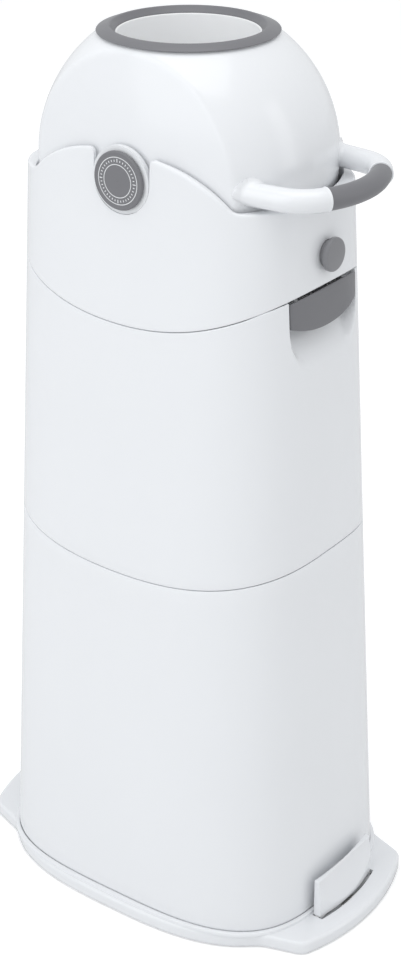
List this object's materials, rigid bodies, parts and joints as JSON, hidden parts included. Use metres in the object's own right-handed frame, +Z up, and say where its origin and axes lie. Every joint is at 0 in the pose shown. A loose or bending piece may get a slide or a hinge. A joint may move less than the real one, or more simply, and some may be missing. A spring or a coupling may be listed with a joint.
{
  "type": "nappy bin",
  "caption": "Tall tapered nappy bin: a split body on a tabbed base plate, a hinged lid with latch and lock button, and a flip-over drum with a handle and a sliding piston.",
  "frame": {"origin": "on the floor, under the middle of the body and of the drum", "axes": "+Z up; -Y to the front, where the handle, the lock button and the latch are; +X to the right seen from the front, along the drum's pivot axis"},
  "size_m": [0.2332, 0.353, 0.7],
  "materials": {
    "white_plastic": "gloss",
    "grey_plastic": "satin",
    "steel": "satin",
    "rubber": "matte"
  },
  "bodies": {
    "base": {"base_plate": "white_plastic", "rubber_feet": "rubber", "clip_pins": "steel", "clip_springs": "steel", "lower_body": "white_plastic", "upper_body": "white_plastic", "latch_pin": "steel", "latch_springs": "steel", "hinge_pin": "steel"},
    "lid": {"lid_shell": "white_plastic", "drum_cradle": "white_plastic", "cradle_screws": "steel", "drum_seal": "rubber", "button_spring": "steel", "button_retainer": "white_plastic", "pivot_bush_left": "white_plastic", "pivot_bush_right": "white_plastic"},
    "drum": {"drum_upper_shell": "white_plastic", "drum_lower_shell": "white_plastic", "chute_upper": "white_plastic", "chute_lower": "white_plastic", "upper_rim_ring": "grey_plastic", "lower_rim_ring": "grey_plastic", "trunnion_left": "white_plastic", "trunnion_right": "white_plastic", "pivot_cap_left": "grey_plastic", "pivot_cap_right": "grey_plastic", "pivot_screws": "steel", "drum_screws": "steel", "handle_bow": "white_plastic", "handle_grip": "grey_plastic"},
    "piston": {"piston_cup": "white_plastic", "piston_cover": "white_plastic", "piston_seals": "rubber"},
    "latch": {"latch": "grey_plastic"},
    "button": {"lock_button": "grey_plastic"},
    "clip_front": {"clip_front": "white_plastic"},
    "clip_rear": {"clip_rear": "white_plastic"}
  },
  "joints": [
    {"name": "lid_open", "type": "hinge", "parent": "base", "child": "lid", "pos_m": [0, 0.1232, 0.5352], "axis": [-1, 0, 0], "range_deg": [0, 95]},
    {"name": "drum_flip", "type": "hinge", "parent": "lid", "child": "drum", "pos_m": [0, 0, 0.6071], "axis": [-1, 0, 0], "range_deg": [0, 180]},
    {"name": "piston_slide", "type": "slide", "parent": "drum", "child": "piston", "axis": [0, 0, 1], "range_m": [0, 0.107]},
    {"name": "latch_pull", "type": "hinge", "parent": "base", "child": "latch", "pos_m": [0, -0.11252, 0.52684], "axis": [-1, 0, 0], "range_deg": [0, 10], "stiffness_Nm_per_rad": 0.3, "springref_deg": -9.74},
    {"name": "button_press", "type": "slide", "parent": "lid", "child": "button", "axis": [0, 1, 0], "range_m": [0, 0.0025], "stiffness_N_per_m": 400, "springref_m": -0.002},
    {"name": "clip_front_swing", "type": "hinge", "parent": "base", "child": "clip_front", "pos_m": [0, -0.15343, 0.0055], "axis": [1, 0, 0], "range_deg": [0, 10], "stiffness_Nm_per_rad": 0.3, "springref_deg": -8.59},
    {"name": "clip_rear_swing", "type": "hinge", "parent": "base", "child": "clip_rear", "pos_m": [0, 0.15343, 0.0055], "axis": [-1, 0, 0], "range_deg": [0, 10], "stiffness_Nm_per_rad": 0.3, "springref_deg": -8.59}
  ]
}
